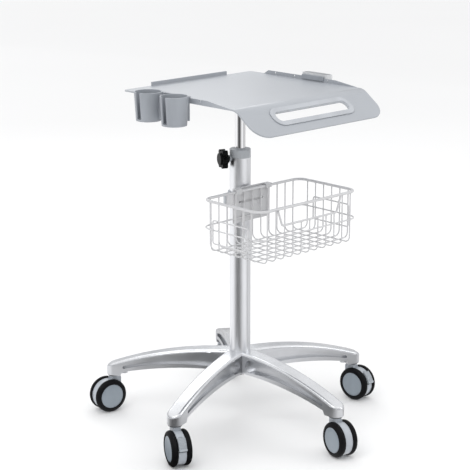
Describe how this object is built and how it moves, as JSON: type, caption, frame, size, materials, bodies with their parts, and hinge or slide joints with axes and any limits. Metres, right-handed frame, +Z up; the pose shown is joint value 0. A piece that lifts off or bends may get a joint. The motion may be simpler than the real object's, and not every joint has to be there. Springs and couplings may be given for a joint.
{
  "type": "height adjustable lab trolley",
  "caption": "Small lab trolley: star base on twin-wheel casters, telescopic column with clamp knob, wire basket, sheet tray with grip wing, cup holder and side bin.",
  "frame": {"origin": "on the floor under the centre of the overall box, with every joint at rest", "axes": "+Z up; -Y is the front, where the tray's grip wing and the basket are; +X is the right-hand side with the side bin"},
  "size_m": [0.608, 0.6038, 0.749],
  "materials": {
    "basket_coat": "white powder coat over steel wire",
    "bin_plastic": "moulded light grey",
    "black_plate": "black coated",
    "bracket_paint": "white powder coat",
    "cast_base": "polished casting with a soft mirror on its ridges",
    "clamp_plastic": "moulded grey",
    "clip_plastic": "moulded grey",
    "collar_plastic": "moulded grey",
    "column_metal": "satin drawn tube",
    "cover_plastic": "moulded blue grey",
    "cup_plastic": "moulded mid grey",
    "housing_plastic": "moulded pale blue grey",
    "inner_plastic": "moulded, hidden",
    "knob_plastic": "moulded black",
    "mast_chrome": "polished chrome plate",
    "pedal_plastic": "moulded pale grey",
    "seal_rubber": "soft black ring",
    "socket_metal": "machined and painted grey",
    "steel_fixing": "zinc plated",
    "tray_paint": "satin light grey powder coat",
    "trim_plastic": "moulded light grey",
    "tyre_rubber": "black soft tread"
  },
  "bodies": {
    "base": {"star_base": "cast_base", "base_washer": "black_plate", "base_screw": "steel_fixing", "column_tube": "column_metal", "column_plug": "inner_plastic", "column_collar": "collar_plastic", "caster_stems": "steel_fixing", "caster_seals": "seal_rubber", "basket_rim": "basket_coat", "basket_mid_ring": "basket_coat", "basket_wires": "basket_coat", "basket_front_drop": "basket_coat", "basket_side_loops": "basket_coat", "basket_bracket": "bracket_paint", "basket_clamp": "clamp_plastic", "basket_clamp_screws": "steel_fixing"},
    "mast": {"mast_glide": "inner_plastic"},
    "tray": {"mast_tube": "mast_chrome", "tray_socket": "socket_metal", "tray_nuts": "steel_fixing", "tray_top": "tray_paint", "grip_trim": "trim_plastic", "cup_holder": "cup_plastic", "cup_holder_screws": "steel_fixing", "side_bin": "bin_plastic", "bin_clip": "clip_plastic"},
    "knob": {"clamp_knob": "knob_plastic", "clamp_screw": "steel_fixing"},
    "caster_front": {"caster_front_housing": "housing_plastic", "caster_front_axle": "steel_fixing"},
    "wheel_front_a": {"caster_front_wheel_a": "cover_plastic", "caster_front_tyre_a": "tyre_rubber"},
    "wheel_front_b": {"caster_front_wheel_b": "cover_plastic", "caster_front_tyre_b": "tyre_rubber"},
    "caster_right": {"caster_right_housing": "housing_plastic", "caster_right_axle": "steel_fixing"},
    "wheel_right_a": {"caster_right_wheel_a": "cover_plastic", "caster_right_tyre_a": "tyre_rubber"},
    "wheel_right_b": {"caster_right_wheel_b": "cover_plastic", "caster_right_tyre_b": "tyre_rubber"},
    "pedal_right": {"caster_right_pedal": "pedal_plastic"},
    "caster_rear": {"caster_rear_housing": "housing_plastic", "caster_rear_axle": "steel_fixing"},
    "wheel_rear_a": {"caster_rear_wheel_a": "cover_plastic", "caster_rear_tyre_a": "tyre_rubber"},
    "wheel_rear_b": {"caster_rear_wheel_b": "cover_plastic", "caster_rear_tyre_b": "tyre_rubber"},
    "caster_back_left": {"caster_back_left_housing": "housing_plastic", "caster_back_left_axle": "steel_fixing"},
    "wheel_back_left_a": {"caster_back_left_wheel_a": "cover_plastic", "caster_back_left_tyre_a": "tyre_rubber"},
    "wheel_back_left_b": {"caster_back_left_wheel_b": "cover_plastic", "caster_back_left_tyre_b": "tyre_rubber"},
    "caster_left": {"caster_left_housing": "housing_plastic", "caster_left_axle": "steel_fixing"},
    "wheel_left_a": {"caster_left_wheel_a": "cover_plastic", "caster_left_tyre_a": "tyre_rubber"},
    "wheel_left_b": {"caster_left_wheel_b": "cover_plastic", "caster_left_tyre_b": "tyre_rubber"},
    "pedal_left": {"caster_left_pedal": "pedal_plastic"}
  },
  "joints": [
    {"name": "mast_slide", "type": "slide", "parent": "base", "child": "mast", "axis": [0, 0, 1], "range_m": [-0.08, 0.16]},
    {"name": "tray_swivel", "type": "hinge", "parent": "mast", "child": "tray", "pos_m": [0.00754, 0.04057, 0.7], "axis": [0, 0, 1], "continuous": true},
    {"name": "knob_turn", "type": "hinge", "parent": "base", "child": "knob", "pos_m": [0.00754, 0.04057, 0.586], "axis": [-0.9135, 0.4067, 0], "range_deg": [0, 270]},
    {"name": "swivel_front", "type": "hinge", "parent": "base", "child": "caster_front", "pos_m": [0.00754, -0.24443, 0.08], "axis": [0, 0, 1], "continuous": true},
    {"name": "roll_front_a", "type": "hinge", "parent": "caster_front", "child": "wheel_front_a", "pos_m": [0.00318, -0.26189, 0.0375], "axis": [0.9703, -0.2419, 0], "continuous": true},
    {"name": "roll_front_b", "type": "hinge", "parent": "caster_front", "child": "wheel_front_b", "pos_m": [0.00318, -0.26189, 0.0375], "axis": [0.9703, -0.2419, 0], "continuous": true},
    {"name": "swivel_right", "type": "hinge", "parent": "base", "child": "caster_right", "pos_m": [0.27859, -0.0475, 0.08], "axis": [0, 0, 1], "continuous": true},
    {"name": "roll_right_a", "type": "hinge", "parent": "caster_right", "child": "wheel_right_a", "pos_m": [0.27984, -0.06545, 0.0375], "axis": [0.9976, 0.0698, 0], "continuous": true},
    {"name": "roll_right_b", "type": "hinge", "parent": "caster_right", "child": "wheel_right_b", "pos_m": [0.27984, -0.06545, 0.0375], "axis": [0.9976, 0.0698, 0], "continuous": true},
    {"name": "pedal_right_press", "type": "hinge", "parent": "caster_right", "child": "pedal_right", "pos_m": [0.28103, -0.08241, 0.0637], "axis": [0.9976, 0.0698, 0], "range_deg": [-4, 0]},
    {"name": "swivel_rear", "type": "hinge", "parent": "base", "child": "caster_rear", "pos_m": [0.17506, 0.27114, 0.08], "axis": [0, 0, 1], "continuous": true},
    {"name": "roll_rear_a", "type": "hinge", "parent": "caster_rear", "child": "wheel_rear_a", "pos_m": [0.1689, 0.25423, 0.0375], "axis": [0.9397, -0.342, 0], "continuous": true},
    {"name": "roll_rear_b", "type": "hinge", "parent": "caster_rear", "child": "wheel_rear_b", "pos_m": [0.1689, 0.25423, 0.0375], "axis": [0.9397, -0.342, 0], "continuous": true},
    {"name": "swivel_back_left", "type": "hinge", "parent": "base", "child": "caster_back_left", "pos_m": [-0.15998, 0.27114, 0.08], "axis": [0, 0, 1], "continuous": true},
    {"name": "roll_back_left_a", "type": "hinge", "parent": "caster_back_left", "child": "wheel_back_left_a", "pos_m": [-0.17765, 0.27458, 0.0375], "axis": [-0.1908, -0.9816, 0], "continuous": true},
    {"name": "roll_back_left_b", "type": "hinge", "parent": "caster_back_left", "child": "wheel_back_left_b", "pos_m": [-0.17765, 0.27458, 0.0375], "axis": [-0.1908, -0.9816, 0], "continuous": true},
    {"name": "swivel_left", "type": "hinge", "parent": "base", "child": "caster_left", "pos_m": [-0.26351, -0.0475, 0.08], "axis": [0, 0, 1], "continuous": true},
    {"name": "roll_left_a", "type": "hinge", "parent": "caster_left", "child": "wheel_left_a", "pos_m": [-0.27112, -0.06381, 0.0375], "axis": [0.9063, -0.4226, 0], "continuous": true},
    {"name": "roll_left_b", "type": "hinge", "parent": "caster_left", "child": "wheel_left_b", "pos_m": [-0.27112, -0.06381, 0.0375], "axis": [0.9063, -0.4226, 0], "continuous": true},
    {"name": "pedal_left_press", "type": "hinge", "parent": "caster_left", "child": "pedal_left", "pos_m": [-0.27831, -0.07922, 0.0637], "axis": [0.9063, -0.4226, 0], "range_deg": [-4, 0]}
  ]
}
